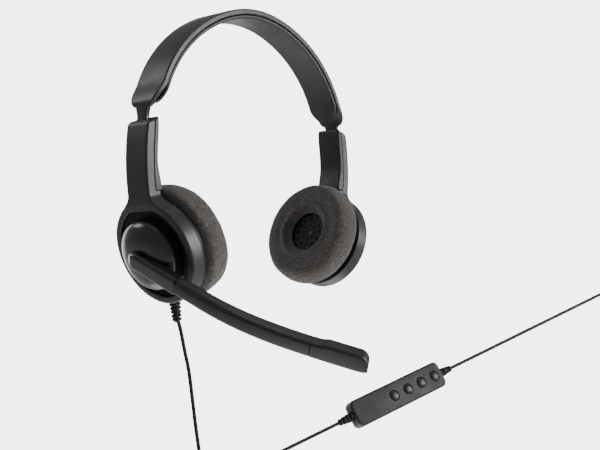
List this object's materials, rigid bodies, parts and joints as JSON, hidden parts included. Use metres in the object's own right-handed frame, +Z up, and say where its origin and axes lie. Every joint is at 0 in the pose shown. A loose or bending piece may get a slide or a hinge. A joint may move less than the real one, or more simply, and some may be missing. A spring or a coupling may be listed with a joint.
{
  "type": "office headset",
  "caption": "Corded on-ear office headset with sprung headband, sliding earpieces, swinging microphone boom and an in-line controller ending in a plug.",
  "frame": {"origin": "underside of the head pad at the crown, where a head holds the headset up", "axes": "+Z up as worn, +X towards the plain earpiece, -Y forwards, the way the microphone boom points"},
  "size_m": [0.3869, 0.1452, 0.3195],
  "materials": {
    "charcoal_plastic": "satin moulded",
    "dark_plastic": "satin moulded",
    "gloss_plastic": "gloss",
    "soft_touch": "soft touch",
    "pad_leatherette": "leatherette",
    "cushion_foam": "open-cell foam",
    "cord_rubber": "matt",
    "button_rubber": "matt",
    "steel": "brushed",
    "copper": "bare wire",
    "film": "translucent film",
    "board": "solder mask"
  },
  "bodies": {
    "headband": {"headband_shell": "charcoal_plastic", "headband_pad": "pad_leatherette", "spring_steel_band": "steel", "crossover_wire": "copper"},
    "mic_side_earpiece": {"boom_friction_washer": "film", "cup_strain_relief": "cord_rubber", "cord_from_cup": "cord_rubber", "cord_hank": "cord_rubber", "cord_tie": "cord_rubber", "cord_to_controller": "cord_rubber", "cord_to_plug": "cord_rubber", "controller_top_shell": "dark_plastic", "controller_bottom_shell": "dark_plastic", "controller_board": "board", "controller_relief_headset_end": "cord_rubber", "controller_relief_plug_end": "cord_rubber", "plug_strain_relief": "cord_rubber", "plug_body": "dark_plastic", "plug_metal_shell": "steel", "plug_tongue": "film", "mic_side_arm_shell": "charcoal_plastic", "mic_side_arm_cover": "dark_plastic", "mic_side_click_spring": "steel", "mic_side_capsule_housing": "dark_plastic", "mic_side_capsule_screw_front": "steel", "mic_side_capsule_screw_rear": "steel", "mic_side_speaker_frame": "film", "mic_side_speaker_magnet": "steel", "mic_side_speaker_diaphragm": "film", "mic_side_speaker_baffle": "dark_plastic", "mic_side_ear_cushion": "cushion_foam"},
    "plain_side_earpiece": {"plain_side_outer_cap": "charcoal_plastic", "plain_side_arm_shell": "charcoal_plastic", "plain_side_arm_cover": "dark_plastic", "plain_side_click_spring": "steel", "plain_side_capsule_housing": "dark_plastic", "plain_side_capsule_screw_front": "steel", "plain_side_capsule_screw_rear": "steel", "plain_side_speaker_frame": "film", "plain_side_speaker_magnet": "steel", "plain_side_speaker_diaphragm": "film", "plain_side_speaker_baffle": "dark_plastic", "plain_side_ear_cushion": "cushion_foam"},
    "boom": {"boom_turret": "gloss_plastic", "boom_spindle_clip": "steel", "boom_root": "gloss_plastic", "boom_tube": "soft_touch", "boom_core_wire": "copper", "mic_pod_shell": "soft_touch", "mic_pod_cover": "soft_touch", "mic_capsule": "steel"},
    "button_1": {"controller_button_1": "button_rubber"},
    "button_2": {"controller_button_2": "button_rubber"},
    "button_3": {"controller_button_3": "button_rubber"},
    "button_4": {"controller_button_4": "button_rubber"}
  },
  "joints": [
    {"name": "mic_side_slider", "type": "slide", "parent": "headband", "child": "mic_side_earpiece", "axis": [-0.0349, 0, -0.9994], "range_m": [-0.005, 0.025]},
    {"name": "plain_side_slider", "type": "slide", "parent": "headband", "child": "plain_side_earpiece", "axis": [0.0349, 0, -0.9994], "range_m": [-0.0023, 0.0277]},
    {"name": "boom_swing", "type": "hinge", "parent": "mic_side_earpiece", "child": "boom", "pos_m": [-0.07043, 0, -0.12764], "axis": [-0.9426, 0, -0.3338], "range_deg": [-25, 245]},
    {"name": "button_1_press", "type": "slide", "parent": "mic_side_earpiece", "child": "button_1", "axis": [0.3778, 0.7534, -0.5381], "range_m": [0, 0.0006], "stiffness_N_per_m": 1200, "springref_m": -0.0002},
    {"name": "button_2_press", "type": "slide", "parent": "mic_side_earpiece", "child": "button_2", "axis": [0.3778, 0.7534, -0.5381], "range_m": [0, 0.0006], "stiffness_N_per_m": 1200, "springref_m": -0.0002},
    {"name": "button_3_press", "type": "slide", "parent": "mic_side_earpiece", "child": "button_3", "axis": [0.3778, 0.7534, -0.5381], "range_m": [0, 0.0006], "stiffness_N_per_m": 1200, "springref_m": -0.0002},
    {"name": "button_4_press", "type": "slide", "parent": "mic_side_earpiece", "child": "button_4", "axis": [0.3778, 0.7534, -0.5381], "range_m": [0, 0.0006], "stiffness_N_per_m": 1200, "springref_m": -0.0002}
  ]
}
